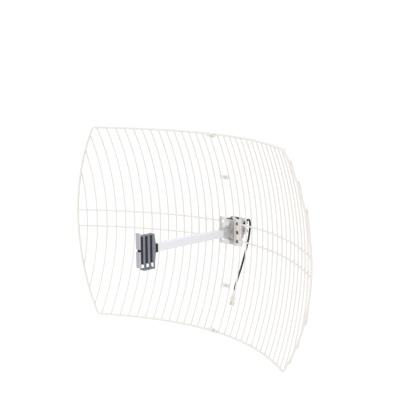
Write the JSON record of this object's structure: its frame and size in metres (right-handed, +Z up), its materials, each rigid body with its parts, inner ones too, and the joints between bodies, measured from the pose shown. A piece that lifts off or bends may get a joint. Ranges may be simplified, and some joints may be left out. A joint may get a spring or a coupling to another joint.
{
  "type": "parabolic grid antenna",
  "caption": "Wire-grid parabolic dish antenna in two bolted halves, with a square feed arm, a dipole feed head, a coaxial pigtail and a tilting mast clamp.",
  "frame": {"origin": "on the mast's axis, level with the middle of the clamp and of the grid", "axes": "+Z up along the mast, -Y the way the antenna looks, +X to the side of the mast on which the antenna hangs"},
  "size_m": [0.9978, 0.46, 0.6066],
  "materials": {
    "powder_coat": "satin off-white powder coat",
    "zinc_steel": "bright zinc plating",
    "galvanised": "galvanised sheet",
    "dark_steel": "dark coated sheet",
    "cast_alloy": "matt die casting",
    "arm_aluminium": "satin anodised",
    "cage_grey": "matt blue-grey plastic",
    "black_plastic": "matt black plastic",
    "splash_aluminium": "matt aluminium",
    "brass": "plain",
    "coax_jacket": "matt black jacket",
    "gland_rubber": "matt",
    "nickel": "nickel plating",
    "ptfe": "white insulator"
  },
  "bodies": {
    "mast_mount": {"mast_plate": "galvanised", "mast_saddle": "cast_alloy", "u_bolt_upper": "zinc_steel", "u_bolt_lower": "zinc_steel", "u_bolt_washers": "zinc_steel", "u_bolt_spring_washers": "zinc_steel", "u_bolt_nuts": "zinc_steel", "pivot_bolt": "zinc_steel", "pivot_washers": "zinc_steel", "pivot_nut": "zinc_steel", "lock_bolt": "zinc_steel", "lock_washers": "zinc_steel", "lock_nut": "zinc_steel"},
    "antenna": {"wires_left_inner": "powder_coat", "wires_left_middle": "powder_coat", "wires_left_outer": "powder_coat", "wires_right_inner": "powder_coat", "wires_right_middle": "powder_coat", "wires_right_outer": "powder_coat", "rim_left": "powder_coat", "rim_right": "powder_coat", "crossbar_left_upper": "powder_coat", "crossbar_left_lower": "powder_coat", "crossbar_right_upper": "powder_coat", "crossbar_right_lower": "powder_coat", "plate_left": "powder_coat", "plate_right": "powder_coat", "tabs_left": "powder_coat", "tabs_right": "powder_coat", "tab_bolts": "zinc_steel", "tab_nuts": "zinc_steel", "feed_flange": "cast_alloy", "feed_arm": "arm_aluminium", "arm_screw": "zinc_steel", "feed_bolt_upper": "zinc_steel", "feed_bolt_lower": "zinc_steel", "feed_washer_upper": "zinc_steel", "feed_washer_lower": "zinc_steel", "feed_nut_upper": "zinc_steel", "feed_nut_lower": "zinc_steel", "feed_collar": "black_plastic", "feed_cage": "cage_grey", "dipole_cover": "black_plastic", "splash_plate_upper": "splash_aluminium", "splash_plate_lower": "splash_aluminium", "dipole": "brass", "feed_coax": "coax_jacket", "cable_gland": "gland_rubber", "pigtail": "coax_jacket", "connector_ferrule": "nickel", "connector_body": "nickel", "connector_insulator": "ptfe", "connector_contact": "brass", "tilt_bracket": "dark_steel"}
  },
  "joints": [
    {"name": "elevation_tilt", "type": "hinge", "parent": "mast_mount", "child": "antenna", "pos_m": [0.0285, -0.027, -0.034], "axis": [1, 0, 0], "range_deg": [-15, 15]}
  ]
}
